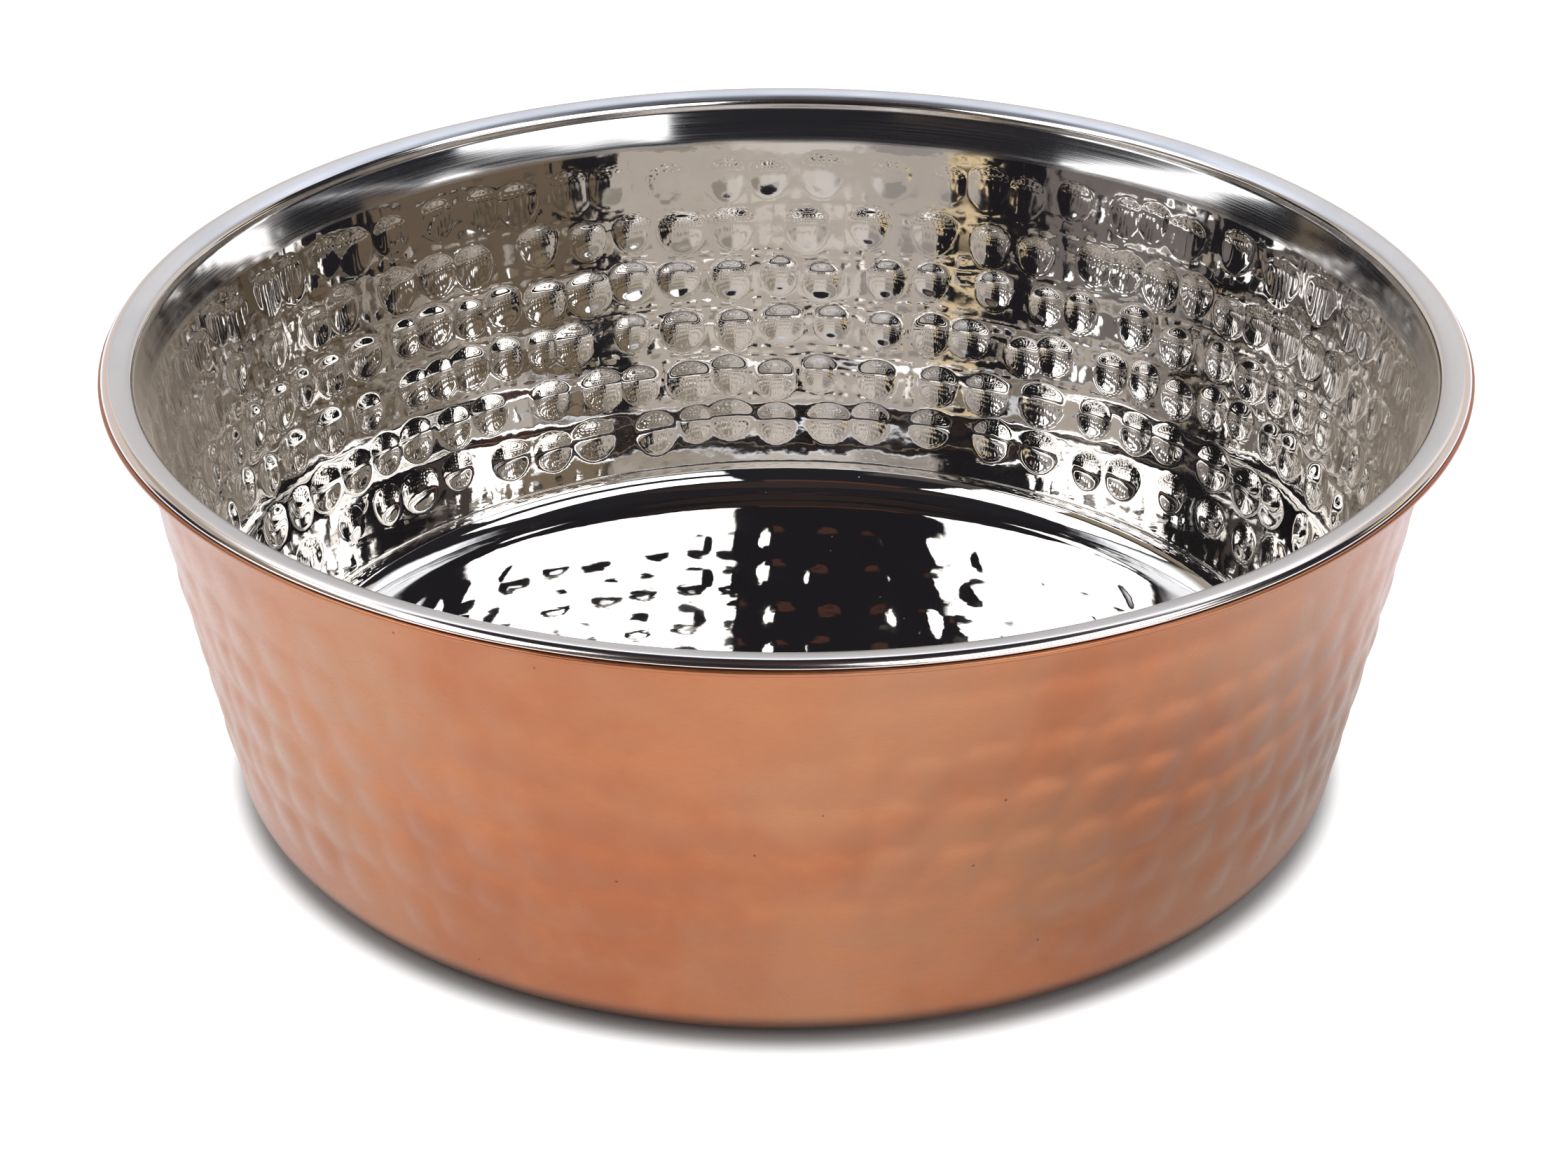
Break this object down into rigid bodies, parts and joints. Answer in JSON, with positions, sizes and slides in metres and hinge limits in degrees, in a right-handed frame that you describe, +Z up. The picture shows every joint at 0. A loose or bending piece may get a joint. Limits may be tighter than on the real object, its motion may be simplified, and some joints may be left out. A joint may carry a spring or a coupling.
{
  "type": "hammered copper bowl",
  "caption": "Round serving bowl with leaning walls and a narrow flat rim, a hammered copper outside over a hammered steel liner.",
  "frame": {"origin": "middle of the foot, on the plane the bowl stands on", "axes": "+Z up along the bowl's axis of revolution, out of its mouth; X and Y are any two radii, as the bowl is round"},
  "size_m": [0.22, 0.22, 0.076],
  "materials": {
    "copper": "satin lacquered copper, hammered",
    "steel": "mirror-polished hammered stainless steel, satin on the rim"
  },
  "bodies": {
    "root": {"copper_shell": "copper", "steel_liner": "steel"}
  },
  "joints": []
}
